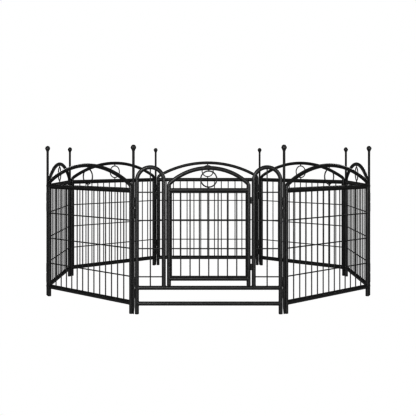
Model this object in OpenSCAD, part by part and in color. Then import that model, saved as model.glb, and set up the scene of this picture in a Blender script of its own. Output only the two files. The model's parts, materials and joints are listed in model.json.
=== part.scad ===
// Folding pet playpen: eight arched steel panels round an octagon, joined by lift-out corner rods.
// One panel holds a hinged door. Millimetres, +Z up, origin at the centre of the pen on the floor.
// The door panel faces -Y. Every panel is drawn as if it were the front one, then turned into place.

/* [Pen] */
// Distance between neighbouring corner rods, which is the width of one panel
panel_pitch = 620; // [580:5:660]
// Height of the tube's centreline at the top of a panel's arch
crown_z = 609.5; // [600:0.5:640]
// Radius of a panel's arch, to the tube's centreline
arch_r = 580; // [520:5:640]
// Radius of the bend between the arch and a post
shoulder_r = 22; // [18:1:26]

/* [Tubes and wires] */
// Outer diameter of the frame tube
tube_d = 16; // [14:0.5:16]
// Wall thickness of the frame tube
tube_wall = 1.2; // [0.8:0.1:1.5]
// Diameter of the mesh wire
wire_d = 4.5; // [3:0.5:4.5]
// How far welded wires sink into each other
weld_sink = 0.4; // [0.2:0.1:0.6]
// Height of the bottom rail's centreline
bottom_rail_z = 43.5; // [38:0.5:50]
// Height of the top rail's centreline
top_rail_z = 511; // [500:1:515]
// Spacing of the level wires, counted down from the top one
level_step = 115.8; // [110:0.2:118]
// Number of upright wires in a plain panel
panel_uprights = 15; // [11:2:17]
// Outer diameter of the ornamental ring
ring_d = 71; // [60:1:72]
// Diameter of the ring's bar
ring_bar_d = 5; // [4:0.5:6]

/* [Corner rods] */
// Diameter of a corner rod
rod_d = 10; // [9:0.5:10.5]
// Height of the middle of the ball on top of a rod
ball_z = 686; // [670:1:700]
// Diameter of the ball
ball_d = 22; // [18:1:24]
// Length of the point at the foot of a rod
tip_h = 30; // [15:1:45]
// Distance from a rod's axis to the axis of a post beside it
post_offset = 14.25; // [14.25:0.25:17]
// Outer diameter of a hinge barrel
barrel_d = 12; // [11.5:0.25:12.25]
// Height of a hinge barrel
barrel_h = 39.5; // [30:0.5:40]
// Gap between the two barrels of a pair
barrel_gap = 8; // [4:1:10]
// Height of the foot of the lower pair of barrels
lower_pair_z = 64.5; // [58:0.5:70]
// Height of the foot of the upper pair of barrels
upper_pair_z = 393; // [380:1:410]
// Radial play between a pin and the bore that it turns in
running_play = 0.08; // [0.05:0.01:0.1]

/* [Door panel] */
// Height of the lower sill bar's centreline
lower_sill_z = 43.2; // [38:0.1:50]
// Height of the upper sill bar's centreline
upper_sill_z = 108; // [104:1:112]
// Height of the centreline at the top of a hoop
hoop_crown_z = 604; // [598:1:630]
// Distance from the middle of the panel to a hoop's inner leg
hoop_leg_x = 185.1; // [184:0.1:188]

/* [Door] */
// Distance from the middle of the door to the axis of a stile
stile_x = 163.7; // [162:0.1:164]
// Height of the centreline at the top of the door's arch
door_crown_z = 601; // [598:1:606]
// Radius of the door's arch, to the tube's centreline
door_arch_r = 235.6; // [225:0.1:245]
// Radius of the bend between the door's arch and a stile
door_shoulder_r = 16; // [14:1:20]
// Height of the door's bottom rail
door_bottom_rail_z = 145.4; // [142:0.2:150]
// Height of the door's top rail
door_top_rail_z = 510; // [500:1:514]
// Number of upright wires in the door
door_uprights = 9; // [7:2:11]
// Gap under the stiles
stile_gap = 1; // [0.8:0.1:2]

/* [Door fittings] */
// Outer diameter of a door hinge knuckle
knuckle_d = 8; // [7.6:0.1:8.2]
// Height of a door hinge, both knuckles together
hinge_h = 25; // [20:1:30]
// Diameter of a door hinge pin
hinge_pin_d = 5; // [4.5:0.1:5]
// Height of the middle of the lower door hinge
lower_hinge_z = 194; // [185:1:215]
// Height of the middle of the upper door hinge
upper_hinge_z = 467.5; // [440:0.5:480]
// Diameter of the drop bolt
bolt_d = 8; // [7:0.5:8]
// Length of the drop bolt
bolt_length = 92; // [80:1:110]
// How far the drop bolt falls into the sill
bolt_travel = 15; // [12:1:15]
// Diameter of the bolt's thumb button
button_d = 12; // [10:1:14]

/* [Foot caps] */
// Thickness of a cap's head, which stands on the floor
cap_head_h = 6; // [3:0.5:8]
// Length of a cap's plug inside the tube
cap_plug_h = 12; // [8:1:16]

/* [Hidden] */
$fn = 48;
arc_fn = 240;
sides = 8;
turn = 360 / sides;
half_pitch = panel_pitch / 2;
apothem = half_pitch / tan(turn / 2);
tube_r = tube_d / 2;
bore_r = tube_r - tube_wall;
wire_r = wire_d / 2;
post_x = half_pitch - post_offset;
rod_r = rod_d / 2;
ring_r = (ring_d - ring_bar_d) / 2;
// Small overlap that stands for a weld between two nodes
weld = 0.1;
// Half of the gap between two lengths of a bent tube, and how far the band across it stands proud
band_gap = 0.05;
band_lip = 0.02;

// Upright wires lie on the inner side of the panel's middle plane, level wires on the outer side
wire_shift = (wire_d - weld_sink) / 2;
// Distance from a tube's axis to a border wire that is welded along it
border_step = sqrt(pow(tube_r + wire_r - weld, 2) - pow(wire_shift, 2));
// Distance from a tube's axis to the end of a wire that meets it
wire_end_step = sqrt(pow(tube_r, 2) - pow(wire_shift, 2)) - 2 * weld;
// Length of an upright wire beyond the middle of the border wire that it ends on
wire_tail = wire_r - weld_sink;

// Height of the highest level wire in a plain panel, and of the three below it
top_level_z = top_rail_z - border_step;
inner_levels = [for (i = [1:3]) top_level_z - i * level_step];

hoop_r = (post_x - hoop_leg_x) / 2;
hoop_x = (post_x + hoop_leg_x) / 2;
hoop_base_z = hoop_crown_z - hoop_r;

barrel_r = barrel_d / 2;
barrel_step = barrel_h + barrel_gap;
web_w = 4;
web_inset = 3;

knuckle_r = knuckle_d / 2;
// Gap between a door hinge knuckle and the tubes on both sides of it
knuckle_gap = 0.4;
// Gap between the two knuckles of a door hinge
knuckle_split = 0.4;
hinge_x = (stile_x + hoop_leg_x) / 2;
hinge_y = -sqrt(pow(tube_r + knuckle_r + knuckle_gap, 2) - pow(hinge_x - stile_x, 2));
pin_r = hinge_pin_d / 2;
pin_head_h = 1.5;
pin_head_r = 0.9 * knuckle_r;

plug_head_h = 2;
plug_edge_r = 1.5;
plug_slack = 0.05;
stile_foot_z = upper_sill_z + tube_r + stile_gap;
stile_z = stile_foot_z + plug_head_h;
bolt_r = bolt_d / 2;
bolt_inset = 1.5;
bolt_foot_z = stile_foot_z + bolt_inset;
bolt_collar_h = 10;
stem_r = 2;
stem_gap = 0.3;
button_z = bolt_foot_z + bolt_length - bolt_collar_h / 2;
button_gap = 0.5;
button_h = 3;
stop_w = 10;
stop_h = 26;
stop_t = 2.5;
stop_gap = 0.3;

// Names of the panels, counter-clockwise from the one beside the door
PLAIN = ["front_right", "right", "back_right", "back", "back_left", "left", "front_left"];

// ---- Building blocks ----

// Turns what is drawn as the front panel to place number n, counter-clockwise
module panel_place(n) {
  rotate([0, 0, n * turn]) translate([0, -apothem, 0]) children();
}

module both_sides() {
  children();
  mirror([1, 0, 0]) children();
}

// Section of the frame tube, with its middle at a distance from the origin
module tube_section(distance) {
  translate([distance, 0]) difference() {
    circle(r = tube_r);
    circle(r = bore_r);
  }
}

// Straight tube upwards from the origin
module tube(length) {
  rotate_extrude() translate([bore_r, 0]) square([tube_wall, length]);
}

// Level tube along X, centred
module level_tube(length) {
  rotate([0, 90, 0]) translate([0, 0, -length / 2]) tube(length);
}

// Band that joins two lengths of tube, a hair thicker than their wall, square to Z
module band() {
  rotate_extrude() translate([bore_r - band_lip, -2 * band_gap])
    square([tube_wall + 2 * band_lip, 4 * band_gap]);
}

// Tube bent round the origin in the XZ plane, its angles counted up from +X, with a band at each end
module arc_tube(radius, from, to) {
  short = asin(band_gap / radius);
  rotate([90, 0, 0]) rotate([0, 0, from + short])
    rotate_extrude(angle = to - from - 2 * short, $fn = arc_fn) tube_section(radius);
  for (angle = [from, to]) rotate([0, -angle, 0]) translate([radius, 0, 0]) band();
}

// One tube bent into two legs, two shoulders and the arch between them
module arched_tube(leg_x, foot_z, top_z, radius, bend_r) {
  arch_z = top_z - radius;
  bend_x = leg_x - bend_r;
  bend_z = arch_z + sqrt(pow(radius - bend_r, 2) - pow(bend_x, 2));
  meet = acos(bend_x / (radius - bend_r));
  short = asin(band_gap / radius);
  translate([0, 0, arch_z]) rotate([90, 0, 0]) rotate([0, 0, meet + short])
    rotate_extrude(angle = 180 - 2 * (meet + short), $fn = arc_fn) tube_section(radius);
  both_sides() {
    translate([bend_x, 0, bend_z]) arc_tube(bend_r, 0, meet);
    translate([leg_x, 0, foot_z]) tube(bend_z - band_gap - foot_z);
  }
}

// Level tubes whose ends are cut to fit the round sides of the legs
module coped_rails(leg_x, heights) {
  difference() {
    for (z = heights) translate([0, 0, z]) level_tube(2 * leg_x);
    both_sides() translate([leg_x, 0, 0]) cylinder(r = tube_r, h = crown_z);
  }
}

// Ring between a top rail and the arch above it, with a short stud above and below
module ring(rail_z, top_z) {
  low_z = rail_z + tube_r;
  high_z = top_z - tube_r;
  ring_z = (low_z + high_z) / 2;
  bar_r = ring_bar_d / 2;
  root = 5 * weld;
  translate([0, 0, ring_z]) rotate([90, 0, 0])
    rotate_extrude($fn = arc_fn) translate([ring_r, 0]) circle(r = bar_r);
  for (ends = [[low_z - root, ring_z - ring_r], [ring_z + ring_r, high_z + root]])
    translate([0, 0, ends[0]]) cylinder(r = bar_r, h = ends[1] - ends[0]);
}

module upright_wire(x, from_z, to_z) {
  translate([x, wire_shift, from_z]) cylinder(r = wire_r, h = to_z - from_z);
}

module level_wire(from_x, to_x, z) {
  translate([from_x, -wire_shift, z]) rotate([0, 90, 0]) cylinder(r = wire_r, h = to_x - from_x);
}

// Welded mesh between two legs, with border wires on all four sides
module mesh(leg_x, low_z, high_z, uprights, levels) {
  side_x = leg_x - border_step;
  reach = leg_x - wire_end_step;
  for (i = [0:uprights - 1])
    upright_wire(side_x * (2 * i / (uprights - 1) - 1), low_z - wire_tail, high_z + wire_tail);
  for (z = concat([low_z, high_z], levels)) level_wire(-reach, reach, z);
}

// Barrels on both edges of a panel: the upper of each pair on the right, the lower on the left
module hinge_barrels() {
  for (side = [-1, 1], pair_z = [lower_pair_z, upper_pair_z])
    translate([side * half_pitch, 0, pair_z + (side > 0 ? barrel_step : 0)])
      difference() {
        union() {
          cylinder(r = barrel_r, h = barrel_h);
          web_length = post_offset - tube_r + 3 * weld;
          translate([side > 0 ? -web_length : 0, -web_w / 2, web_inset])
            cube([web_length, web_w, barrel_h - 2 * web_inset]);
        }
        translate([0, 0, -1]) cylinder(r = rod_r + running_play, h = barrel_h + 2);
      }
}

// Push-in plug with a head as wide as the tube, its lower edge rounded, standing on the origin
module plug(head_h, length) {
  edge_r = min(plug_edge_r, head_h / 2);
  rotate_extrude() {
    square([tube_r - edge_r, head_h]);
    translate([0, edge_r]) square([tube_r, head_h - edge_r]);
    translate([tube_r - edge_r, edge_r]) circle(r = edge_r);
  }
  cylinder(r = bore_r - plug_slack, h = head_h + length);
}

module foot_caps() {
  both_sides() translate([post_x, 0, 0]) plug(cap_head_h, cap_plug_h);
}

// ---- Plain panels ----

module panel_frame() {
  color("#26272a") arched_tube(post_x, cap_head_h, crown_z, arch_r, shoulder_r);
}

module panel_rails_and_ring() {
  color("#26272a") {
    coped_rails(post_x, [bottom_rail_z, top_rail_z]);
    ring(top_rail_z, crown_z);
  }
}

module panel_mesh() {
  color("#2b2c2f")
    mesh(post_x, bottom_rail_z + border_step, top_level_z, panel_uprights, inner_levels);
}

module panel_hinge_barrels() {
  color("#202124") hinge_barrels();
}

module panel_foot_caps() {
  color("#151516") foot_caps();
}

// ---- Corner rods ----

// Pointed rod with a ball on a tapered neck, standing at a panel's right-hand corner
module corner_rod() {
  tip_r = 2;
  neck_r = 0.4 * ball_d;
  neck_h = 10;
  neck_z = ball_z - ball_d / 4 - neck_h;
  color("#232427") translate([half_pitch, 0, 0]) {
    cylinder(r1 = tip_r, r2 = rod_r, h = tip_h);
    translate([0, 0, tip_h]) cylinder(r = rod_r, h = neck_z - tip_h);
    translate([0, 0, neck_z]) cylinder(r1 = rod_r, r2 = neck_r, h = neck_h);
    translate([0, 0, ball_z]) sphere(r = ball_d / 2);
  }
}

// ---- Door panel ----

// Inverted U: the corner post, a half-round top and an inner leg that stands on the upper sill
module hoop() {
  translate([hoop_x, 0, hoop_base_z]) arc_tube(hoop_r, 0, 180);
  translate([post_x, 0, cap_head_h]) tube(hoop_base_z - band_gap - cap_head_h);
  difference() {
    translate([hoop_leg_x, 0, upper_sill_z]) tube(hoop_base_z - band_gap - upper_sill_z);
    translate([0, 0, upper_sill_z]) rotate([0, 90, 0]) cylinder(r = tube_r, h = half_pitch);
  }
}

module door_panel_left_hoop() {
  color("#26272a") mirror([1, 0, 0]) hoop();
}

module door_panel_right_hoop() {
  color("#26272a") hoop();
}

// The upper bar has a hole in its top that takes the drop bolt
module door_panel_sill_bars() {
  color("#26272a") difference() {
    coped_rails(post_x, [lower_sill_z, upper_sill_z]);
    translate([-stile_x, 0, upper_sill_z]) cylinder(r = bolt_r + stem_gap, h = tube_d);
  }
}

module door_panel_mesh() {
  color("#2b2c2f") both_sides() {
    upright_wire(hoop_x, upper_sill_z + wire_end_step, hoop_crown_z - wire_end_step);
    for (z = concat([top_level_z], inner_levels))
      level_wire(hoop_leg_x + wire_end_step, post_x - wire_end_step, z);
  }
}

module door_panel_hinge_barrels() {
  color("#202124") hinge_barrels();
}

module door_panel_foot_caps() {
  color("#151516") foot_caps();
}

// Tab on the upper sill, behind the foot of the left stile, that the closed door rests against
module door_stop() {
  inner_y = tube_r + stop_gap;
  color("#26272a") difference() {
    translate([-stile_x - stop_w / 2, inner_y - stop_t, upper_sill_z])
      cube([stop_w, 2 * stop_t, stop_h]);
    translate([-stile_x - stop_w, inner_y - tube_d, stile_foot_z - 2 * stile_gap])
      cube([2 * stop_w, tube_d, stop_h]);
    translate([-half_pitch, 0, upper_sill_z]) rotate([0, 90, 0])
      cylinder(r = tube_r - weld, h = half_pitch);
  }
}

// ---- Door hinges ----

// Places one knuckle at both hinges: its foot is at offset_z from the hinge's middle
module at_hinges(offset_z) {
  for (z = [lower_hinge_z, upper_hinge_z]) translate([hinge_x, hinge_y, z + offset_z]) children();
}

// Knuckle with a web that runs to the tube on one side of it
module knuckle(tube_side) {
  height = (hinge_h - knuckle_split) / 2;
  web_inset_z = 1;
  web_t = 3;
  reach = knuckle_r + knuckle_gap + 3 * weld;
  difference() {
    union() {
      cylinder(r = knuckle_r, h = height);
      rotate([0, 0, atan2(-hinge_y, tube_side * (hinge_x - stile_x))])
        translate([0, -web_t / 2, web_inset_z]) cube([reach, web_t, height - 2 * web_inset_z]);
    }
    translate([0, 0, -1]) cylinder(r = pin_r + running_play, h = hinge_h);
  }
}

module door_hinge_leg_knuckles() {
  color("#202124") at_hinges(-hinge_h / 2) knuckle(1);
}

module door_hinge_stile_knuckles() {
  color("#202124") at_hinges(knuckle_split / 2) knuckle(-1);
}

// Headed pins, held in the stile's knuckles by their heads
module door_hinge_pins() {
  color("#3a3b3e") at_hinges(-hinge_h / 2) {
    cylinder(r = pin_r, h = hinge_h);
    translate([0, 0, hinge_h]) cylinder(r1 = pin_head_r, r2 = pin_r, h = pin_head_h);
  }
}

// ---- Door ----

// The left stile has a slot in its outer side for the drop bolt's button
module door_frame() {
  slot_r = stem_r + stem_gap;
  color("#26272a") difference() {
    arched_tube(stile_x, stile_z, door_crown_z, door_arch_r, door_shoulder_r);
    for (z = [button_z - bolt_travel, button_z])
      translate([-stile_x, 0, z]) rotate([90, 0, 0]) cylinder(r = slot_r, h = tube_d);
    translate([-stile_x - slot_r, -tube_d, button_z - bolt_travel])
      cube([2 * slot_r, tube_d, bolt_travel]);
  }
}

module door_rails_and_ring() {
  color("#26272a") {
    coped_rails(stile_x, [door_bottom_rail_z, door_top_rail_z]);
    ring(door_top_rail_z, door_crown_z);
  }
}

module door_mesh() {
  color("#2b2c2f")
    mesh(stile_x, door_bottom_rail_z + border_step, door_top_rail_z - border_step, door_uprights,
      [inner_levels[0], inner_levels[1]]);
}

module door_stile_plug() {
  color("#151516") translate([stile_x, 0, stile_foot_z]) plug(plug_head_h, cap_plug_h);
}

// ---- Drop bolt in the left stile, drawn lifted, which is unlocked ----

module door_bolt_guide() {
  color("#151516") translate([-stile_x, 0, stile_foot_z]) difference() {
    plug(plug_head_h, cap_plug_h);
    translate([0, 0, -1]) cylinder(r = bolt_r + running_play, h = 2 * cap_plug_h);
  }
}

module drop_bolt() {
  chamfer = 1;
  color("#8a8c90") translate([-stile_x, 0, bolt_foot_z]) {
    cylinder(r1 = bolt_r - chamfer, r2 = bolt_r, h = chamfer);
    translate([0, 0, chamfer]) cylinder(r = bolt_r, h = bolt_length - chamfer);
    translate([0, 0, bolt_length - bolt_collar_h])
      cylinder(r = bore_r - running_play, h = bolt_collar_h);
  }
}

// Button outside the stile, on a stem that stands on the bolt's collar
module drop_bolt_button() {
  stem_y = bore_r - running_play;
  head_y = tube_r + button_gap;
  color("#151516") translate([-stile_x, 0, button_z]) rotate([90, 0, 0]) {
    translate([0, 0, stem_y - weld]) cylinder(r = stem_r, h = head_y - stem_y + 2 * weld);
    translate([0, 0, head_y]) cylinder(r1 = button_d / 2, r2 = button_d / 2 - 1, h = button_h);
  }
}

// ---- Assembly ----

for (n = [1:len(PLAIN)]) {
  name = PLAIN[n - 1];
  panel_place(n) panel_frame();
  panel_place(n) panel_rails_and_ring();
  panel_place(n) panel_mesh();
  panel_place(n) panel_hinge_barrels();
  panel_place(n) panel_foot_caps();
}
for (n = [1:sides])
  panel_place(n - 1) corner_rod();
panel_place(0) door_panel_left_hoop();
panel_place(0) door_panel_right_hoop();
panel_place(0) door_panel_sill_bars();
panel_place(0) door_panel_mesh();
panel_place(0) door_panel_hinge_barrels();
panel_place(0) door_panel_foot_caps();
panel_place(0) door_stop();
panel_place(0) door_hinge_leg_knuckles();
panel_place(0) door_frame();
panel_place(0) door_rails_and_ring();
panel_place(0) door_mesh();
panel_place(0) door_hinge_stile_knuckles();
panel_place(0) door_hinge_pins();
panel_place(0) door_stile_plug();
panel_place(0) door_bolt_guide();
panel_place(0) drop_bolt();
panel_place(0) drop_bolt_button();
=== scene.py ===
"""Folding pet playpen: eight arched steel panels in an octagon, a door in one, a rod at each corner.

Metres, +Z up, the door panel faces -Y. A panel is drawn as if it were the front one, with its middle
plane at y = 0, its outer side towards -Y and the floor at z = 0, and is then turned into its place in
the octagon. Each piece stands for the CAD node whose name it starts with.
"""
import json
import math

import bmesh
import bpy
from mathutils import Matrix, Vector


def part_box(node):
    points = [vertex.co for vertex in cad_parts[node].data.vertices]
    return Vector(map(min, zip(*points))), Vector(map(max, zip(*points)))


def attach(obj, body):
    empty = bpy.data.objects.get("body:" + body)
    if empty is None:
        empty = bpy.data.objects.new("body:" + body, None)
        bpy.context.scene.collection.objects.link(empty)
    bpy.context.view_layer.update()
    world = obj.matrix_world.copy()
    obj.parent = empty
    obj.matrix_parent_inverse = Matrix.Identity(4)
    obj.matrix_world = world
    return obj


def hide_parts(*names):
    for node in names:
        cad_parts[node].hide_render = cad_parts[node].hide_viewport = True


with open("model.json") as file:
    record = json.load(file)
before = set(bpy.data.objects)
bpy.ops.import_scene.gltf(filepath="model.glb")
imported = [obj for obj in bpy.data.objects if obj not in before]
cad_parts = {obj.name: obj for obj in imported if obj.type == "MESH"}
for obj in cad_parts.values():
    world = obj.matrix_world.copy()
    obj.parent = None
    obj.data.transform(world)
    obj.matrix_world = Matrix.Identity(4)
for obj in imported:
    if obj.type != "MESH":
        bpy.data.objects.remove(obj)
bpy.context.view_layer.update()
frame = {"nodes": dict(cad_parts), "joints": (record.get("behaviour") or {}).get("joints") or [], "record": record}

scene = bpy.context.scene
X, Y, Z = Vector((1, 0, 0)), Vector((0, 1, 0)), Vector((0, 0, 1))

# ---- Camera ----

camera = bpy.data.objects.new("camera", bpy.data.cameras.new("camera"))
scene.collection.objects.link(camera)
scene.camera = camera
camera.location = (-0.0147, -4.077, 0.651)
camera.rotation_euler = (math.radians(90), 0, 0)
camera.data.lens = 70
camera.data.shift_x = 0.0068
camera.data.shift_y = -0.1254
camera.data.clip_end = 200

# ---- Dimensions, which are the CAD model's ----
# _R is a radius, _H a height, _X, _Y and _Z a place in the panel's frame.

SIDES = 8
TURN = 2 * math.pi / SIDES
PLAIN = ["front_right", "right", "back_right", "back", "back_left", "left", "front_left"]

corner_1 = next(j for j in frame["joints"] if j["name"] == "pen_fold")["pos_m"]
HALF_PITCH, APOTHEM = corner_1[0], -corner_1[1]

low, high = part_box("back_frame")
TUBE_R = (high.y - low.y) / 2
TUBE_WALL = 0.0012
BORE_R = TUBE_R - TUBE_WALL
POST_X = high.x - TUBE_R
CAP_H = low.z
CROWN_Z = high.z - TUBE_R
ARCH_R, SHOULDER_R = 0.580, 0.022

# Welded tubes sink into each other by WELD, and welded wires by WELD_SINK.
WELD = 0.0001
WIRE_R = 0.00225
WELD_SINK = 0.0004
WIRE_SHIFT = WIRE_R - WELD_SINK / 2
WIRE_TAIL = WIRE_R - WELD_SINK
BORDER_STEP = math.sqrt((TUBE_R + WIRE_R - WELD) ** 2 - WIRE_SHIFT ** 2)
WIRE_END_STEP = math.sqrt(TUBE_R ** 2 - WIRE_SHIFT ** 2) - 2 * WELD
BOTTOM_RAIL_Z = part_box("back_rails_and_ring")[0].z + TUBE_R
TOP_RAIL_Z = 0.511
TOP_LEVEL_Z = TOP_RAIL_Z - BORDER_STEP
LEVEL_STEP = 0.1158
INNER_LEVELS = [TOP_LEVEL_Z - step * LEVEL_STEP for step in (1, 2, 3)]
PANEL_UPRIGHTS, DOOR_UPRIGHTS = 15, 9
RING_R, RING_BAR_R = 0.033, 0.0025

low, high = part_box("door_panel_left_hoop")
HOOP_CROWN_Z = high.z - TUBE_R
HOOP_LEG_X = TUBE_R - high.x
HOOP_R = (POST_X - HOOP_LEG_X) / 2
HOOP_X = (POST_X + HOOP_LEG_X) / 2
low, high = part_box("door_panel_sill_bars")
SILLS = [low.z + TUBE_R, high.z - TUBE_R]

low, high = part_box("door_frame")
STILE_X = high.x - TUBE_R
STILE_FOOT_Z = low.z
DOOR_CROWN_Z = high.z - TUBE_R
DOOR_ARCH_R, DOOR_SHOULDER_R = 0.2356, 0.016
DOOR_BOTTOM_RAIL_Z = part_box("door_rails_and_ring")[0].z + TUBE_R
DOOR_TOP_RAIL_Z = 0.510

low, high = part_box("back_hinge_barrels")
BARREL_H, BARREL_R, BARREL_BORE_R = 0.0395, 0.006, 0.00508
BARREL_GAP = 0.008
BARREL_STEP = BARREL_H + BARREL_GAP
PAIR_FEET = [low.z, high.z - BARREL_STEP - BARREL_H]
ROD_R = 0.005
BALL_R = 0.011
BALL_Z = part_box("corner_rod_1")[1].z - BALL_R

BOLT_R, BOLT_PLAY, BOLT_TRAVEL = 0.004, 0.0003, 0.015
SLOT_R = 0.0023
low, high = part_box("drop_bolt_button")
BUTTON_Z = (low.z + high.z) / 2
BUTTON_R = (high.z - low.z) / 2
BUTTON_FACE = -APOTHEM - low.y

KNUCKLE_R, PIN_R, KNUCKLE_BORE_R = 0.004, 0.0025, 0.00258
KNUCKLE_H, HINGE_H = 0.0123, 0.025
hinge_joint = next(j for j in frame["joints"] if j["name"] == "door_swing")["pos_m"]
HINGE_X, HINGE_Y = hinge_joint[0], hinge_joint[1] + APOTHEM
low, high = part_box("door_hinge_leg_knuckles")
HINGE_FEET = [low.z, high.z - KNUCKLE_H]

# ---- Mesh building ----

TUBE_SIDES, WIRE_SIDES, BEAD_SIDES = 40, 16, 8
BEAD_STATIONS = 72
ARC_STEP = math.radians(2.5)
SHARP = math.radians(35)


class Shape:
    """Points and faces of one piece, in the frame of the panel that it is drawn in."""

    def __init__(self):
        self.points, self.faces = [], []

    def skin(self, rings, loop=False):
        """Joins rings of points. A loop's last ring joins its first, and otherwise both ends are closed."""
        base, count = len(self.points), len(rings[0])
        for ring in rings:
            self.points.extend(ring)
        starts = [base + i * count for i in range(len(rings))]
        pairs = list(zip(starts, starts[1:])) + ([(starts[-1], starts[0])] if loop else [])
        for a, b in pairs:
            for i in range(count):
                j = (i + 1) % count
                self.faces.append((a + i, a + j, b + j, b + i))
        if not loop:
            self.faces.append([starts[0] + i for i in reversed(range(count))])
            self.faces.append([starts[-1] + i for i in range(count)])

    def mesh(self, name):
        """What is drawn so far, smooth but for its sharp edges."""
        mesh = bpy.data.meshes.new(name)
        mesh.from_pydata(self.points, [], self.faces)
        work = bmesh.new()
        work.from_mesh(mesh)
        bmesh.ops.recalc_face_normals(work, faces=work.faces)
        work.to_mesh(mesh)
        work.free()
        mesh.shade_smooth()
        mesh.set_sharp_from_angle(angle=SHARP)
        return mesh


def turns(count):
    """Evenly spaced angles of one full turn."""
    return [2 * math.pi * i / count for i in range(count)]


def circle(centre, along, radius, sides=TUBE_SIDES, lead=Y):
    """Ring of points square to a direction. The first one lies towards lead."""
    lead = (lead - lead.dot(along) * along).normalized()
    across = along.cross(lead)
    return [centre + radius * (math.cos(a) * lead + math.sin(a) * across) for a in turns(sides)]


def arc(x, z, radius, start, stop):
    """Stations (point, direction) along an arc in the panel's plane. Angles count from +X towards +Z."""
    count = max(2, math.ceil(abs(stop - start) / ARC_STEP))
    way = math.copysign(1, stop - start)
    angles = [start + (stop - start) * i / count for i in range(count + 1)]
    return [(Vector((x + radius * math.cos(a), 0, z + radius * math.sin(a))),
             way * Vector((-math.sin(a), 0, math.cos(a)))) for a in angles]


def arched_path(leg_x, foot_z, top_z, radius, bend_r):
    """Stations up one leg, round a shoulder, over the arch and down the other leg."""
    arch_z = top_z - radius
    bend_x = leg_x - bend_r
    meet = math.acos(bend_x / (radius - bend_r))
    bend_z = arch_z + (radius - bend_r) * math.sin(meet)
    return [(Vector((-leg_x, 0, foot_z)), Z), *arc(-bend_x, bend_z, bend_r, math.pi, math.pi - meet),
            *arc(0, arch_z, radius, math.pi - meet, meet)[1:-1],
            *arc(bend_x, bend_z, bend_r, meet, 0), (Vector((leg_x, 0, foot_z)), -Z)]


def saddle(angle, radius):
    """How far a tube's end stands off the axis of the frame tube that it is cut to fit."""
    return math.sqrt(max(0, (TUBE_R - WELD) ** 2 - (radius * math.cos(angle)) ** 2))


def bent_tube(shape, path):
    """Hollow tube along a path of stations (point, direction)."""
    shape.skin([circle(at, along, TUBE_R) for at, along in path]
               + [circle(at, along, BORE_R) for at, along in reversed(path)], loop=True)


def ripple(i):
    """How thick a weld is at a station, one ripple to every four stations."""
    return 1 + 0.1 * math.cos(i * math.pi / 2)


def bead(shape, stations, radius):
    """Weld bead along a closed line of stations (point, outward direction), rippled by its passes."""
    count = len(stations)
    rings = []
    for i, (at, out) in enumerate(stations):
        along = (stations[(i + 1) % count][0] - stations[i - 1][0]).normalized()
        rings.append(circle(at, along, radius * ripple(i), BEAD_SIDES, out))
    shape.skin(rings, loop=True)


def nugget(shape, centre, radii):
    """Small lump that a spot weld squeezes out."""
    rings = []
    for tilt in (-1.2, -0.6, 0, 0.6, 1.2):
        wide, off = math.cos(tilt), math.sin(tilt)
        rings.append([centre + Vector((radii[0] * wide * math.cos(a), radii[1] * off,
                                       radii[2] * wide * math.sin(a))) for a in turns(10)])
    shape.skin(rings)


RAIL_BEAD_R = 0.0014


def rail_rim(leg_x, side, z, radius, angle):
    """Point on the rim of a rail's end, where the rail meets a leg."""
    off, up = radius * math.cos(angle), radius * math.sin(angle)
    return Vector((side * (leg_x - saddle(angle, radius)), off, z + up))


def rails(shape, leg_x, heights):
    """Level tubes between two legs, their ends cut to fit the legs' round sides."""
    ends = ((-1, TUBE_R), (1, TUBE_R), (1, BORE_R), (-1, BORE_R))
    for z in heights:
        rims = [[rail_rim(leg_x, side, z, radius, a) for a in turns(TUBE_SIDES)] for side, radius in ends]
        shape.skin(rims, loop=True)


def rail_beads(shape, leg_x, heights):
    """Weld beads round both ends of each rail."""
    for z in heights:
        for side in (-1, 1):
            bead(shape, [(rail_rim(leg_x, side, z, TUBE_R, a), Vector((0, math.cos(a), math.sin(a))))
                         for a in turns(BEAD_STATIONS)], RAIL_BEAD_R)


def ring(shape, rail_z, top_z):
    """Ring of round bar on two studs, between a top rail and the arch above it."""
    low_z, high_z = rail_z + TUBE_R, top_z - TUBE_R
    ring_z = (low_z + high_z) / 2
    path = arc(0, ring_z, RING_R, 0, 2 * math.pi)[:-1]
    shape.skin([circle(at, along, RING_BAR_R, WIRE_SIDES) for at, along in path], loop=True)
    root = 5 * WELD
    for foot, top in ((low_z - root, ring_z - RING_R), (ring_z + RING_R, high_z + root)):
        shape.skin([circle(Vector((0, 0, z)), Z, RING_BAR_R, WIRE_SIDES) for z in (foot, top)])
    bead_r, bead_angles, joint_weld = 0.0009, turns(BEAD_STATIONS // 3), (0.0042, 0.0027, 0.0031)
    for z, way in ((rail_z, 1), (top_z, -1)):
        bead(shape, [(Vector((RING_BAR_R * math.cos(a), RING_BAR_R * math.sin(a),
                              z + way * math.sqrt(TUBE_R ** 2 - (RING_BAR_R * math.sin(a)) ** 2))),
                      Vector((math.cos(a), math.sin(a), 0))) for a in bead_angles], bead_r)
    for z in (ring_z - RING_R, ring_z + RING_R):
        nugget(shape, Vector((0, 0, z)), joint_weld)


def wire(shape, start, end):
    """Straight wire with eased ends."""
    ease = 0.0004
    along = (end - start).normalized()
    shape.skin([circle(start, along, WIRE_R - ease, WIRE_SIDES),
                circle(start + ease * along, along, WIRE_R, WIRE_SIDES),
                circle(end - ease * along, along, WIRE_R, WIRE_SIDES),
                circle(end, along, WIRE_R - ease, WIRE_SIDES)])


# Radii of the nuggets where wires cross and where they meet a leg.
CROSSING = (0.0029, 0.0012, 0.0029)
WIRE_FOOT = (0.0012, 0.0030, 0.0030)


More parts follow.
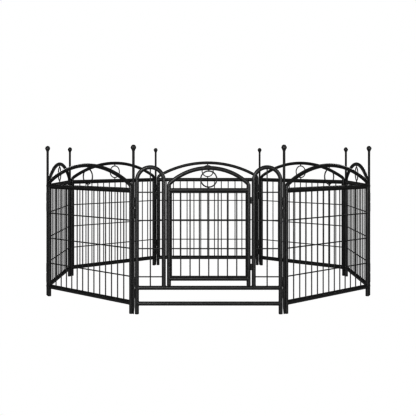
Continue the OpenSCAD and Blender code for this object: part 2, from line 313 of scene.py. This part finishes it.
def wire_mesh(shape, leg_x, low_z, high_z, uprights, levels):
    """Upright wires behind level ones, welded at every crossing and to the legs."""
    side_x, reach = leg_x - BORDER_STEP, leg_x - WIRE_END_STEP
    across = [side_x * (2 * i / (uprights - 1) - 1) for i in range(uprights)]
    heights = [low_z, *levels, high_z]
    for x in across:
        wire(shape, Vector((x, WIRE_SHIFT, low_z - WIRE_TAIL)), Vector((x, WIRE_SHIFT, high_z + WIRE_TAIL)))
        for z in heights:
            nugget(shape, Vector((x, 0, z)), CROSSING)
    for z in heights:
        wire(shape, Vector((-reach, -WIRE_SHIFT, z)), Vector((reach, -WIRE_SHIFT, z)))
        for x in (-reach, reach):
            nugget(shape, Vector((x, -WIRE_SHIFT, z)), WIRE_FOOT)


def lathe(shape, profile, x=0, y=0, loop=False, sides=TUBE_SIDES):
    """Turns a profile of (radius, height) about an upright axis."""
    shape.skin([circle(Vector((x, y, z)), Z, radius, sides) for radius, z in profile], loop)


def sleeve(shape, x, y, bore_r, outer_r, foot_z, top_z, ease):
    """Upright sleeve with eased rims."""
    foot = [(bore_r, foot_z + ease), (bore_r + ease, foot_z), (outer_r - ease, foot_z),
            (outer_r, foot_z + ease)]
    top = [(outer_r, top_z - ease), (outer_r - ease, top_z), (bore_r + ease, top_z), (bore_r, top_z - ease)]
    lathe(shape, foot + top, x, y, loop=True)


def seam(shape, x, y, foot_z, top_z, radius):
    """Upright weld seam with tapered ends."""
    pass_h = 0.0025
    count = 4 * round((top_z - foot_z) / pass_h)
    rings = []
    for i in range(count + 1):
        taper = math.sqrt(min(1, (min(i, count - i) + 0.6) / 4))
        at = Vector((x, y, foot_z + (top_z - foot_z) * i / count))
        rings.append(circle(at, Z, radius * taper * ripple(i), BEAD_SIDES))
    shape.skin(rings)


def web(shape, start, end, half, foot_z, top_z):
    """Upright plate between two points of the plan."""
    across = half * Z.cross(end - start).normalized()
    shape.skin([[Vector((p.x, p.y, z)) for p in (start + across, start - across, end - across, end + across)]
                for z in (foot_z, top_z)])


def hinge_barrels(shape):
    """Sleeves on both posts, each with a short web and a seam on either side of it."""
    web_inset, web_half, ease, seam_r = 0.003, 0.002, 0.0005, 0.0014
    gap_x = (HALF_PITCH - BARREL_R + POST_X + TUBE_R) / 2
    for side in (-1, 1):
        for pair_z in PAIR_FEET:
            foot = pair_z + (BARREL_STEP if side > 0 else 0)
            top = foot + BARREL_H
            sleeve(shape, side * HALF_PITCH, 0, BARREL_BORE_R, BARREL_R, foot, top, ease)
            ends = [side * (POST_X + TUBE_R - 3 * WELD) * X, side * (HALF_PITCH - BARREL_R + 3 * WELD) * X]
            web(shape, *ends, web_half, foot + web_inset, top - web_inset)
            for y in (-web_half, web_half):
                seam(shape, side * gap_x, y, foot + web_inset, top - web_inset, seam_r)


def door_knuckles(shape, tube_x, offset_z):
    """Short sleeves on the hinge axis, each with a web to its tube and a seam on both sides of that."""
    web_inset, web_half, ease, seam_r = 0.001, 0.0015, 0.0004, 0.0009
    axis, tube = Vector((HINGE_X, HINGE_Y, 0)), Vector((tube_x, 0, 0))
    along = (tube - axis).normalized()
    across = web_half * Z.cross(along)
    for low_z in HINGE_FEET:
        foot, top = low_z + offset_z, low_z + offset_z + KNUCKLE_H
        sleeve(shape, axis.x, axis.y, KNUCKLE_BORE_R, KNUCKLE_R, foot, top, ease)
        web(shape, axis + (KNUCKLE_R - 3 * WELD) * along, tube - (TUBE_R - 3 * WELD) * along, web_half,
            foot + web_inset, top - web_inset)
        for sign in (-1, 1):
            at = tube - (TUBE_R + WELD) * along + sign * across
            seam(shape, at.x, at.y, foot + web_inset, top - web_inset, seam_r)


def hinge_pins(shape):
    """Pins with a domed head above and a chamfer below."""
    chamfer, head_r, head_h = 0.0005, 0.0036, 0.0015
    angles = [math.radians(12 * i) for i in range(8)]
    for foot in HINGE_FEET:
        top = foot + HINGE_H
        dome = [(head_r * math.cos(a), top + head_h * math.sin(a)) for a in angles]
        pin = [(PIN_R - chamfer, foot), (PIN_R, foot + chamfer), (PIN_R, top), *dome]
        lathe(shape, pin, HINGE_X, HINGE_Y, sides=24)


def stop_tab(shape):
    """Tab behind the foot of the left stile, its foot cut to fit the sill and welded all round."""
    half_w, thick, ease, bead_r = 0.005, 0.0025, 0.0004, 0.0008
    gap, step_drop, rise = 0.0003, 0.004, 0.026
    sill_r = TUBE_R - WELD
    inner_y = TUBE_R + gap
    front_y, back_y = inner_y - thick, inner_y + thick
    step_z, top_z = STILE_FOOT_Z - step_drop, SILLS[1] + rise
    start = math.asin(front_y / sill_r)
    foot_angles = [start + (math.pi / 2 - start) * i / 6 for i in range(7)]
    foot = [(sill_r * math.sin(a), SILLS[1] + sill_r * math.cos(a)) for a in foot_angles]
    outline = [*foot, (back_y, SILLS[1]), (back_y, top_z - thick / 2), (back_y - thick / 4, top_z),
               (inner_y + thick / 4, top_z), (inner_y, top_z - thick / 4), (inner_y, step_z),
               (front_y, step_z)]
    middle = Vector((0, (inner_y + back_y) / 2, (SILLS[1] + top_z) / 2))
    rings = []
    for x, inset in ((-half_w, ease), (ease - half_w, 0), (half_w - ease, 0), (half_w, ease)):
        rings.append([Vector((x - STILE_X, y + inset * math.copysign(1, middle.y - y),
                              z + inset * math.copysign(1, middle.z - z))) for y, z in outline])
    shape.skin(rings)
    steps = 12
    edge = [(half_w * (2 * i / steps - 1), start) for i in range(steps)]
    edge += [(half_w, start + (math.pi / 2 - start) * i / steps) for i in range(steps)]
    edge += [(half_w * (1 - 2 * i / steps), math.pi / 2) for i in range(steps)]
    edge += [(-half_w, math.pi / 2 - (math.pi / 2 - start) * i / steps) for i in range(steps)]
    bead(shape, [(Vector((x - STILE_X, TUBE_R * math.sin(a), SILLS[1] + TUBE_R * math.cos(a))),
                  Vector((0, math.sin(a), math.cos(a)))) for x, a in edge], bead_r)


def thumb_button(shape):
    """Dished button with a grooved rim, on the stem that runs in the stile's slot."""
    face, head_h, ease = BUTTON_FACE, 0.003, 0.0005
    taper, groove, steps = 0.001, 0.0003, 6
    stem_r, stem_root = SLOT_R - 0.0003, BORE_R - 0.00018
    head = face - head_h
    rim = [(BUTTON_R - taper * i / steps - (groove if i % 2 else 0),
            head + ease + (head_h - 2 * ease) * i / steps) for i in range(steps + 1)]
    dish = [(BUTTON_R - 0.0022, face), (BUTTON_R - 0.0035, face - 0.0005), (0.0004, face - 0.0007)]
    profile = [(stem_r, stem_root), (stem_r, head), (BUTTON_R - ease, head), *rim,
               (BUTTON_R - taper - ease, face), *dish]
    shape.skin([circle(Vector((-STILE_X, -far, BUTTON_Z)), Y, radius, 32, Z) for radius, far in profile])


def foot_caps(shape):
    """Moulded caps: a head with a rounded lower edge and a plug inside the post."""
    edge, plug_h, plug_play = 0.0015, 0.012, 0.00005
    plug_top = CAP_H + plug_h
    plug_r = BORE_R - plug_play
    angles = [math.radians(15 * i) for i in range(7)]
    rounding = [(TUBE_R - edge + edge * math.sin(a), edge - edge * math.cos(a)) for a in angles]
    plug = [(plug_r, CAP_H), (plug_r, plug_top - edge), (plug_r - edge, plug_top)]
    for side in (-1, 1):
        lathe(shape, [*rounding, (TUBE_R, CAP_H), *plug], x=side * POST_X)


def corner_rod(shape):
    """Pointed rod with a ball on a tapered neck."""
    tip_r, tip_ease, tip_h, neck_h, neck_r = 0.002, 0.0006, 0.030, 0.010, 0.0088
    neck_top = BALL_Z - BALL_R / 2
    neck_foot = neck_top - neck_h
    profile = [(0.6 * tip_r, 0), (tip_r, tip_ease), (ROD_R, tip_h)]
    steps = 36
    for i in range(steps):
        z = neck_foot + (BALL_Z + BALL_R - neck_foot) * math.sin(i / steps * math.pi / 2)
        cone = ROD_R + (neck_r - ROD_R) * (z - neck_foot) / neck_h if z <= neck_top else 0
        ball = math.sqrt(max(0, BALL_R ** 2 - (z - BALL_Z) ** 2))
        profile.append((max(cone, ball), z))
    lathe(shape, profile, x=HALF_PITCH)


def hoop(shape, side):
    """Corner post, half-round top and an inner leg cut to fit the upper sill."""
    base_z = HOOP_CROWN_Z - HOOP_R
    path = [(Vector((POST_X, 0, CAP_H)), Z), *arc(HOOP_X, base_z, HOOP_R, 0, math.pi)]

    def rim(radius, angle):
        return Vector((HOOP_LEG_X + radius * math.sin(angle), radius * math.cos(angle),
                       SILLS[1] + saddle(angle, radius)))

    def mirrored(points):
        return [Vector((side * p.x, p.y, p.z)) for p in points]
    rings = [circle(at, along, TUBE_R) for at, along in path]
    rings += [[rim(radius, a) for a in turns(TUBE_SIDES)] for radius in (TUBE_R, BORE_R)]
    rings += [circle(at, along, BORE_R) for at, along in reversed(path)]
    shape.skin([mirrored(points) for points in rings], loop=True)
    bead_angles = turns(BEAD_STATIONS)
    outward = [Vector((side * math.sin(a), math.cos(a), 0)) for a in bead_angles]
    bead(shape, list(zip(mirrored(rim(TUBE_R, a) for a in bead_angles), outward)), RAIL_BEAD_R)


def hoop_wires(shape):
    """One upright and four level wires in each hoop."""
    spans = (HOOP_LEG_X + WIRE_END_STEP, POST_X - WIRE_END_STEP)
    for side in (-1, 1):
        wire(shape, Vector((side * HOOP_X, WIRE_SHIFT, SILLS[1] + WIRE_END_STEP)),
             Vector((side * HOOP_X, WIRE_SHIFT, HOOP_CROWN_Z - WIRE_END_STEP)))
        for z in [TOP_LEVEL_Z, *INNER_LEVELS]:
            ends = [Vector((side * x, -WIRE_SHIFT, z)) for x in spans]
            wire(shape, *ends)
            for end in ends:
                nugget(shape, end, WIRE_FOOT)
            nugget(shape, Vector((side * HOOP_X, 0, z)), CROSSING)


def drill(shape, cutter):
    """Takes a cutter's shape out of what is drawn so far, and merges points that the cut has doubled."""
    whole = bpy.data.objects.new("whole", shape.mesh("whole"))
    bit = bpy.data.objects.new("bit", cutter.mesh("bit"))
    for obj in (whole, bit):
        scene.collection.objects.link(obj)
    cut = whole.modifiers.new("cut", "BOOLEAN")
    cut.operation, cut.solver, cut.object = "DIFFERENCE", "EXACT", bit
    result = bmesh.new()
    result.from_object(whole, bpy.context.evaluated_depsgraph_get())
    bmesh.ops.remove_doubles(result, verts=result.verts, dist=WELD / 100)
    for obj in (whole, bit):
        bpy.data.objects.remove(obj)
    result.verts.index_update()
    shape.points = [corner.co.copy() for corner in result.verts]
    shape.faces = [[corner.index for corner in face.verts] for face in result.faces]
    result.free()


def bolt_slot():
    """Slot in the outer side of the left stile, that the bolt's button runs in."""
    shape = Shape()
    low_z, high_z = BUTTON_Z - BOLT_TRAVEL, BUTTON_Z
    half_turn = [math.pi * i / 12 for i in range(13)]
    outline = [(SLOT_R * math.cos(a), high_z + SLOT_R * math.sin(a)) for a in half_turn]
    outline += [(-SLOT_R * math.cos(a), low_z - SLOT_R * math.sin(a)) for a in half_turn]
    shape.skin([[Vector((-STILE_X + x, y, z)) for x, z in outline] for y in (-2 * TUBE_R, 0)])
    return shape


def bolt_hole():
    """Hole in the top of the upper sill bar, under the left stile."""
    shape = Shape()
    hole_r = BOLT_R + BOLT_PLAY
    lathe(shape, [(hole_r, SILLS[1]), (hole_r, SILLS[1] + 2 * TUBE_R)], x=-STILE_X, sides=30)
    return shape


# ---- Finishes ----


class Finish:
    """Node material of one of the record's slots. Its patterns lie still on the piece as the piece moves."""

    def __init__(self, name):
        self.material = bpy.data.materials.new(name)
        self.material.use_nodes = True
        self.tree = self.material.node_tree
        self.surface = self.tree.nodes["Principled BSDF"]
        still = self.add("ShaderNodeTexCoord").outputs["Object"]
        own = self.add("ShaderNodeVectorMath", {"operation": "SCALE"}, Vector=(3, 5, 7),
                       Scale=self.add("ShaderNodeObjectInfo").outputs["Random"]).outputs[0]
        self.place = self.add("ShaderNodeVectorMath", {"operation": "ADD"}, {0: still, 1: own}).outputs[0]

    def add(self, kind, settings=None, sockets=None, **inputs):
        """New node, its inputs given by name or by number, as values or as another node's output."""
        node = self.tree.nodes.new(kind)
        for key, value in (settings or {}).items():
            setattr(node, key, value)
        for key, value in {**(sockets or {}), **inputs}.items():
            self.feed(value, node.inputs[key])
        return node

    def feed(self, value, socket):
        """Gives an input a value, or links another node's output to it."""
        if isinstance(value, bpy.types.NodeSocket):
            self.tree.links.new(value, socket)
        else:
            socket.default_value = value

    def noise(self, size, detail=2, stretch=(1, 1, 1)):
        """Soft noise from 0 to 1, its features about size metres across."""
        stretched = self.add("ShaderNodeVectorMath", {"operation": "MULTIPLY"}, {0: self.place, 1: stretch})
        noise = self.add("ShaderNodeTexNoise", Vector=stretched.outputs[0], Scale=1 / size, Detail=detail)
        return noise.outputs["Fac"]

    def span(self, value, start, stop, low=0, high=1):
        """Value from start to stop, spread from low to high."""
        limits = {"From Min": start, "From Max": stop, "To Min": low, "To Max": high}
        return self.add("ShaderNodeMapRange", None, limits, Value=value).outputs[0]

    def mix(self, share, first, second):
        """Colour between two others. A mix node's colours are inputs 6 and 7 and output 2."""
        return self.add("ShaderNodeMix", {"data_type": "RGBA"}, {0: share, 6: first, 7: second}).outputs[2]

    def bump(self, height, depth, strength=1, under=None):
        """Relief of a height pattern, depth metres deep, on top of another relief."""
        node = self.add("ShaderNodeBump", None, {"Height": height, "Distance": depth, "Strength": strength})
        if under:
            self.feed(under, node.inputs["Normal"])
        return node.outputs[0]

    def set(self, **inputs):
        """Feeds the surface's inputs, their names written with underscores."""
        for key, value in inputs.items():
            self.feed(value, self.surface.inputs[key.replace("_", " ")])


def grey(level, tint=0):
    """Near-neutral colour, a little cooler with a positive tint."""
    return (level * (1 - tint), level, level * (1 + tint), 1)


def powder_coat(name, shade, rough):
    """Satin black powder coat: orange peel, fine powder grain, a few rubbed spots and thin edges."""
    finish = Finish(name)
    drift = finish.span(finish.noise(0.12, 3), 0.35, 0.65)
    peel = finish.noise(0.0016, 1)
    grain = finish.noise(0.00035, 2)
    rubbed = finish.span(finish.noise(0.018, 6, (1, 1, 0.35)), 0.66, 0.72)
    edge = finish.span(finish.add("ShaderNodeNewGeometry").outputs["Pointiness"], 0.56, 0.70, 0, 0.5)
    colour = finish.mix(drift, grey(shade * 0.8), grey(shade * 1.2))
    colour = finish.mix(finish.span(rubbed, 0, 1, 0, 0.35), colour, grey(shade * 2.4))
    colour = finish.mix(edge, colour, grey(shade * 3))
    gloss = finish.span(finish.noise(0.03, 3), 0.3, 0.7, rough - 0.05, rough + 0.06)
    rubbing = finish.span(rubbed, 0, 1, 0, 0.1)
    gloss = finish.add("ShaderNodeMath", {"operation": "ADD"}, {0: gloss, 1: rubbing}).outputs[0]
    skin = finish.bump(peel, 0.00008, 0.5)
    skin = finish.bump(grain, 0.00002, 0.4, skin)
    finish.set(Base_Color=colour, Roughness=gloss, Normal=skin, Specular_IOR_Level=0.5)
    return finish.material


def moulded_plastic(name, shade, rough):
    """Matt moulded plastic with a fine spark-eroded grain."""
    finish = Finish(name)
    grain = finish.noise(0.0005, 3)
    colour = finish.mix(finish.noise(0.02, 3), grey(shade * 0.85), grey(shade * 1.2))
    gloss = finish.span(grain, 0.3, 0.7, rough - 0.06, rough + 0.06)
    skin = finish.bump(grain, 0.00005, 0.6)
    finish.set(Base_Color=colour, Roughness=gloss, Normal=skin, Specular_IOR_Level=0.4)
    return finish.material


def plated_steel(name, shade, rough, line_depth):
    """Plated or oxidised steel with lengthwise drawing lines and cloudy shade."""
    finish = Finish(name)
    lines = finish.noise(0.0004, 3, (1, 1, 0.04))
    cloud = finish.noise(0.008, 4)
    colour = finish.mix(cloud, grey(shade * 0.8, 0.02), grey(shade * 1.1, 0.03))
    gloss = finish.span(cloud, 0.3, 0.7, rough - 0.05, rough + 0.08)
    finish.set(Base_Color=colour, Metallic=1, Roughness=gloss, Normal=finish.bump(lines, line_depth, 0.5))
    return finish.material


FINISHES = {
    "tube_powder_coat": powder_coat("tube_powder_coat", 0.014, 0.40),
    "wire_powder_coat": powder_coat("wire_powder_coat", 0.014, 0.44),
    "hinge_powder_coat": powder_coat("hinge_powder_coat", 0.013, 0.44),
    "rod_powder_coat": powder_coat("rod_powder_coat", 0.016, 0.40),
    "end_cap_plastic": moulded_plastic("end_cap_plastic", 0.012, 0.55),
    "bolt_steel": plated_steel("bolt_steel", 0.55, 0.28, 0.00003),
    "pin_steel": plated_steel("pin_steel", 0.06, 0.4, 0.00002),
}

# ---- Assembly ----

record = frame["record"]
BODY = {node: body for body, nodes in record["behaviour"]["bodies"].items() for node in nodes}
SLOT = {row["node"]: row["material_slot"] for row in record["subparts"]}


def panel_place(number):
    """Turns what is drawn as the front panel to a place, counted counter-clockwise."""
    return Matrix.Rotation(number * TURN, 4, "Z") @ Matrix.Translation((0, -APOTHEM, 0))


def stand_for(node, mesh, number=0):
    """Shows a mesh, drawn in the front panel's frame, in place of a CAD node."""
    piece = bpy.data.objects.new(node + "_finished", mesh)
    scene.collection.objects.link(piece)
    piece.matrix_world = panel_place(number)
    if not mesh.materials:
        mesh.materials.append(FINISHES[SLOT[node]])
    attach(piece, BODY[node])
    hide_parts(node)


def drawn(name, *steps):
    """Mesh of what the steps draw. A step is a function, then what it takes after the shape."""
    shape = Shape()
    for draw, *values in steps:
        draw(shape, *values)
    return shape.mesh(name)


def rails_and_ring(leg_x, bottom_z, top_z, crown_z):
    """Steps that draw a panel's or the door's two rails and ring."""
    heights = [bottom_z, top_z]
    return [(rails, leg_x, heights), (rail_beads, leg_x, heights), (ring, top_z, crown_z)]


panel_arch = arched_path(POST_X, CAP_H, CROWN_Z, ARCH_R, SHOULDER_R)
panel_rails = rails_and_ring(POST_X, BOTTOM_RAIL_Z, TOP_RAIL_Z, CROWN_Z)
plain_meshes = {
    "frame": drawn("panel_frame", (bent_tube, panel_arch)),
    "rails_and_ring": drawn("panel_rails_and_ring", *panel_rails),
    "mesh": drawn("panel_mesh", (wire_mesh, POST_X, BOTTOM_RAIL_Z + BORDER_STEP, TOP_LEVEL_Z, PANEL_UPRIGHTS,
                                 INNER_LEVELS)),
    "hinge_barrels": drawn("panel_hinge_barrels", (hinge_barrels,)),
    "foot_caps": drawn("panel_foot_caps", (foot_caps,)),
}
for number, panel in enumerate(PLAIN, 1):
    for part, mesh in plain_meshes.items():
        stand_for(f"{panel}_{part}", mesh, number)

rod_mesh = drawn("corner_rod", (corner_rod,))
for number in range(SIDES):
    stand_for(f"corner_rod_{number + 1}", rod_mesh, number)

stand_for("door_panel_left_hoop", drawn("left_hoop", (hoop, -1)))
stand_for("door_panel_right_hoop", drawn("right_hoop", (hoop, 1)))
stand_for("door_panel_sill_bars", drawn("sill_bars", (rails, POST_X, SILLS), (drill, bolt_hole()),
                                        (rail_beads, POST_X, SILLS)))
stand_for("door_panel_mesh", drawn("hoop_wires", (hoop_wires,)))
stand_for("door_panel_hinge_barrels", plain_meshes["hinge_barrels"])
stand_for("door_panel_foot_caps", plain_meshes["foot_caps"])

door_arch = arched_path(STILE_X, STILE_FOOT_Z, DOOR_CROWN_Z, DOOR_ARCH_R, DOOR_SHOULDER_R)
door_rails = rails_and_ring(STILE_X, DOOR_BOTTOM_RAIL_Z, DOOR_TOP_RAIL_Z, DOOR_CROWN_Z)
stand_for("door_frame", drawn("door_frame", (bent_tube, door_arch), (drill, bolt_slot())))
stand_for("door_rails_and_ring", drawn("door_rails_and_ring", *door_rails))
stand_for("door_mesh", drawn("door_mesh", (wire_mesh, STILE_X, DOOR_BOTTOM_RAIL_Z + BORDER_STEP,
                                          DOOR_TOP_RAIL_Z - BORDER_STEP, DOOR_UPRIGHTS, INNER_LEVELS[:2])))

leg_knuckles = drawn("leg_knuckles", (door_knuckles, HOOP_LEG_X, 0))
stile_knuckles = drawn("stile_knuckles", (door_knuckles, STILE_X, HINGE_H - KNUCKLE_H))
stand_for("door_hinge_leg_knuckles", leg_knuckles)
stand_for("door_hinge_stile_knuckles", stile_knuckles)
stand_for("door_hinge_pins", drawn("hinge_pins", (hinge_pins,)))
stand_for("door_stop", drawn("stop_tab", (stop_tab,)))
stand_for("drop_bolt_button", drawn("thumb_button", (thumb_button,)))

for node, obj in frame["nodes"].items():
    if not obj.hide_render:
        obj.data.materials.clear()
        obj.data.materials.append(FINISHES[SLOT[node]])

# ---- Floor and light ----

# The lowered gamma keeps thin wires dark against the white.
scene.view_settings.view_transform = "Standard"
scene.view_settings.gamma = 0.65


def floor_finish():
    """Pale matt floor that the camera sees as even white, as a photographer's lit sweep looks."""
    finish = Finish("floor")
    seen = finish.add("ShaderNodeLightPath").outputs["Is Camera Ray"]
    colour = finish.mix(finish.noise(0.8, 3), grey(0.34), grey(0.36))
    finish.set(Base_Color=finish.mix(seen, colour, grey(0)), Roughness=0.9, Specular_IOR_Level=0,
               Emission_Color=grey(1), Emission_Strength=seen)
    return finish.material


floor_half = 60
floor_corners = [(x * floor_half, y * floor_half, 0) for x, y in ((-1, -1), (1, -1), (1, 1), (-1, 1))]
floor_mesh = bpy.data.meshes.new("floor")
floor_mesh.from_pydata(floor_corners, [], [(0, 1, 2, 3)])
floor_mesh.materials.append(floor_finish())
floor = bpy.data.objects.new("floor", floor_mesh)
scene.collection.objects.link(floor)

SEEN_WHITE, AMBIENT = 1, 0.05
world = bpy.data.worlds.new("studio")
scene.world = world
world.use_nodes = True
sky = world.node_tree.nodes["Background"]
sky.inputs["Color"].default_value = (1, 1, 1, 1)
level = world.node_tree.nodes.new("ShaderNodeMapRange")
level.inputs["To Min"].default_value, level.inputs["To Max"].default_value = AMBIENT, SEEN_WHITE
seen = world.node_tree.nodes.new("ShaderNodeLightPath").outputs["Is Camera Ray"]
world.node_tree.links.new(seen, level.inputs["Value"])
world.node_tree.links.new(level.outputs[0], sky.inputs["Strength"])


def softbox(name, at, size, power):
    """Square area light that faces the middle of the pen."""
    lamp = bpy.data.lights.new(name, "AREA")
    lamp.size, lamp.energy = size, power
    obj = bpy.data.objects.new(name, lamp)
    scene.collection.objects.link(obj)
    obj.location = at
    obj.rotation_euler = (Vector((0, 0, 0.3)) - Vector(at)).to_track_quat("-Z", "Y").to_euler()


softbox("key", (-1.8, -4.4, 1.6), 1.6, 240)
softbox("fill", (2.4, -4.0, 1.2), 1.6, 150)
softbox("back_left", (-3.5, 3.4, 2.2), 1.6, 110)
softbox("back_right", (3.5, 3.4, 2.2), 1.6, 110)

ceiling = bpy.data.lights.new("ceiling", "SUN")
ceiling.energy = 0.7
ceiling.angle = math.radians(100)
ceiling_object = bpy.data.objects.new("ceiling", ceiling)
scene.collection.objects.link(ceiling_object)
